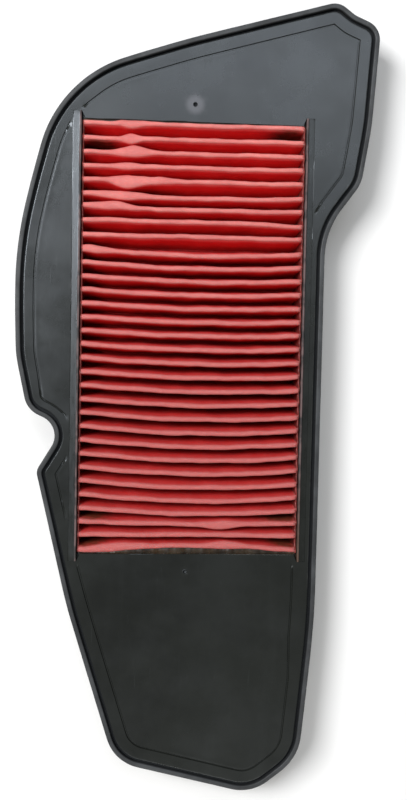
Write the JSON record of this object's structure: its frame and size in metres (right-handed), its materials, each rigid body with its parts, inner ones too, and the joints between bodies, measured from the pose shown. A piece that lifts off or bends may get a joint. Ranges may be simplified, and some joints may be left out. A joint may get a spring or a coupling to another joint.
{
  "type": "pleated panel air filter",
  "caption": "Flat motor scooter air filter: red pleated paper pack in a dark moulded panel with a shaped outline, rubber edge seal and rear support grid.",
  "frame": {"origin": "on the resting plane, under the middle of the filter's outline", "axes": "+Z out of the dirty-air face, +Y along the filter's length towards the pointed wide end, +X across it"},
  "size_m": [0.132, 0.2938, 0.0225],
  "materials": {
    "frame": "satin moulded polypropylene, dark grey",
    "seal": "smooth dark grey rubber",
    "strip": "plain dark grey strip, oiled along its inner edge",
    "paper": "oiled red filter paper, soft sheen",
    "potting": "clear hot-melt glue stained by the oil",
    "grid": "satin moulded polypropylene, near black",
    "thread": "hot-melt adhesive, semi-gloss"
  },
  "bodies": {
    "root": {"frame_panel": "frame", "perimeter_seal": "seal", "seal_joint": "seal", "left_end_strip": "strip", "right_end_strip": "strip", "pleated_element": "paper", "left_potting": "potting", "right_potting": "potting", "top_flap_glue": "potting", "bottom_flap_glue": "potting", "support_grid": "grid", "spacer_thread_1": "thread", "spacer_thread_2": "thread", "spacer_thread_3": "thread", "spacer_thread_4": "thread"}
  },
  "joints": []
}
